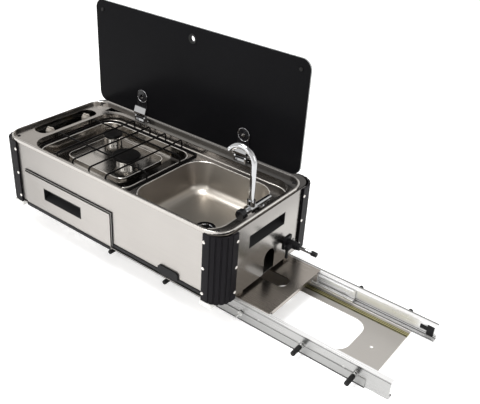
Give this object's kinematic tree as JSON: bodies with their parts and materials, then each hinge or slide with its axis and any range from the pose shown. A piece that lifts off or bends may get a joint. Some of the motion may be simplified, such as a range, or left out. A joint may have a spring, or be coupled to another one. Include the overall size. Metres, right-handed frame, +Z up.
{
  "type": "gas stove with sink",
  "caption": "Slide-out camp kitchen: a steel box with gas burners, a sink with folding tap, a glass lid and a cutlery drawer, carried on telescopic slides above a floor plate.",
  "frame": {"origin": "centre of the floor bolt pattern, on the underside of the base plate", "axes": "+X along the slides towards the closed end, -Y towards the drawer side, +Z up"},
  "size_m": [1.2368, 0.404, 0.597],
  "materials": {
    "panel_steel": "brushed",
    "top_steel": "polished",
    "slide_zinc": "zinc plated",
    "post_black": "satin",
    "chrome": "polished",
    "burner_alloy": "polished",
    "enamel_black": "enamel",
    "brass": "turned",
    "black_plastic": "matte",
    "knob_plastic": "gloss",
    "rubber": "matte",
    "foot_plastic": "matte",
    "lid_glass": "tinted"
  },
  "bodies": {
    "base": {"base_plate": "panel_steel", "front_outer_rail": "slide_zinc", "rear_outer_rail": "slide_zinc", "rail_studs": "slide_zinc", "stud_caps": "rubber", "rail_stops": "black_plastic"},
    "slide_middle": {"front_middle_rail": "slide_zinc", "rear_middle_rail": "slide_zinc", "roller_cages": "slide_zinc"},
    "housing": {"front_inner_rail": "slide_zinc", "rear_inner_rail": "slide_zinc", "slide_tray": "panel_steel", "housing_floor": "panel_steel", "front_panel": "panel_steel", "rear_panel": "panel_steel", "left_panel": "panel_steel", "right_panel": "panel_steel", "front_left_post": "post_black", "front_right_post": "post_black", "rear_left_post": "post_black", "rear_right_post": "post_black", "post_rivets": "panel_steel", "corner_feet": "foot_plastic", "deck_sheet": "top_steel", "rim_bead": "top_steel", "recess_tray": "top_steel", "burner_well": "top_steel", "sink_bowl": "top_steel", "deck_screws": "black_plastic", "front_burner_cup": "burner_alloy", "front_burner_cap": "enamel_black", "rear_burner_cup": "burner_alloy", "rear_burner_cap": "enamel_black", "spark_plugs": "black_plastic", "gas_valves": "brass", "gas_pipes": "burner_alloy", "pot_support": "enamel_black", "sink_waste": "top_steel", "waste_elbow": "black_plastic", "tap_body": "chrome", "hinge_bases": "chrome", "end_grip_cup": "black_plastic", "drawer_runners": "foot_plastic", "front_skirt": "black_plastic", "inlet_valve": "black_plastic", "inlet_pipe": "chrome", "inlet_cap": "black_plastic"},
    "lid": {"lid_glass": "lid_glass", "hinge_leaves": "post_black", "lid_screws": "chrome", "lid_rubbers": "rubber"},
    "spout": {"tap_spout": "chrome"},
    "tap_handle": {"tap_knob": "knob_plastic"},
    "front_knob": {"front_burner_knob": "knob_plastic"},
    "rear_knob": {"rear_burner_knob": "knob_plastic"},
    "drawer": {"drawer_front": "panel_steel", "drawer_tray": "panel_steel", "drawer_grip_cup": "black_plastic", "drawer_skirt": "black_plastic"},
    "inlet_handle": {"inlet_lever": "black_plastic"}
  },
  "joints": [
    {"name": "box_slide", "type": "slide", "parent": "base", "child": "housing", "axis": [1, 0, 0], "range_m": [-0.55, 0.32]},
    {"name": "middle_slide", "type": "slide", "parent": "base", "child": "slide_middle", "axis": [1, 0, 0], "range_m": [-0.275, 0.16]},
    {"name": "lid_hinge", "type": "hinge", "parent": "housing", "child": "lid", "pos_m": [-0.3725, 0.143, 0.276], "axis": [1, 0, 0], "range_deg": [0, 90]},
    {"name": "spout_fold", "type": "hinge", "parent": "housing", "child": "spout", "pos_m": [-0.0125, -0.036, 0.26], "axis": [0, -1, 0], "range_deg": [0, 90]},
    {"name": "tap_turn", "type": "hinge", "parent": "housing", "child": "tap_handle", "pos_m": [-0.0125, -0.062, 0.26], "axis": [0, -1, 0], "range_deg": [0, 180]},
    {"name": "front_burner_turn", "type": "hinge", "parent": "housing", "child": "front_knob", "pos_m": [-0.7235, -0.073, 0.2343], "axis": [0, 0, 1], "range_deg": [0, 180]},
    {"name": "rear_burner_turn", "type": "hinge", "parent": "housing", "child": "rear_knob", "pos_m": [-0.7235, 0.064, 0.2343], "axis": [0, 0, 1], "range_deg": [0, 180]},
    {"name": "drawer_slide", "type": "slide", "parent": "housing", "child": "drawer", "axis": [0, -1, 0], "range_m": [0, 0.22]},
    {"name": "inlet_turn", "type": "hinge", "parent": "housing", "child": "inlet_handle", "pos_m": [0.0455, 0.071, 0.118], "axis": [0, -1, 0], "range_deg": [0, 90]}
  ],
  "couplings": [
    {"joint": "middle_slide", "follows": "box_slide", "ratio": 0.5},
    {"joint": "spout_fold", "follows": "lid_hinge", "ratio": 1}
  ]
}
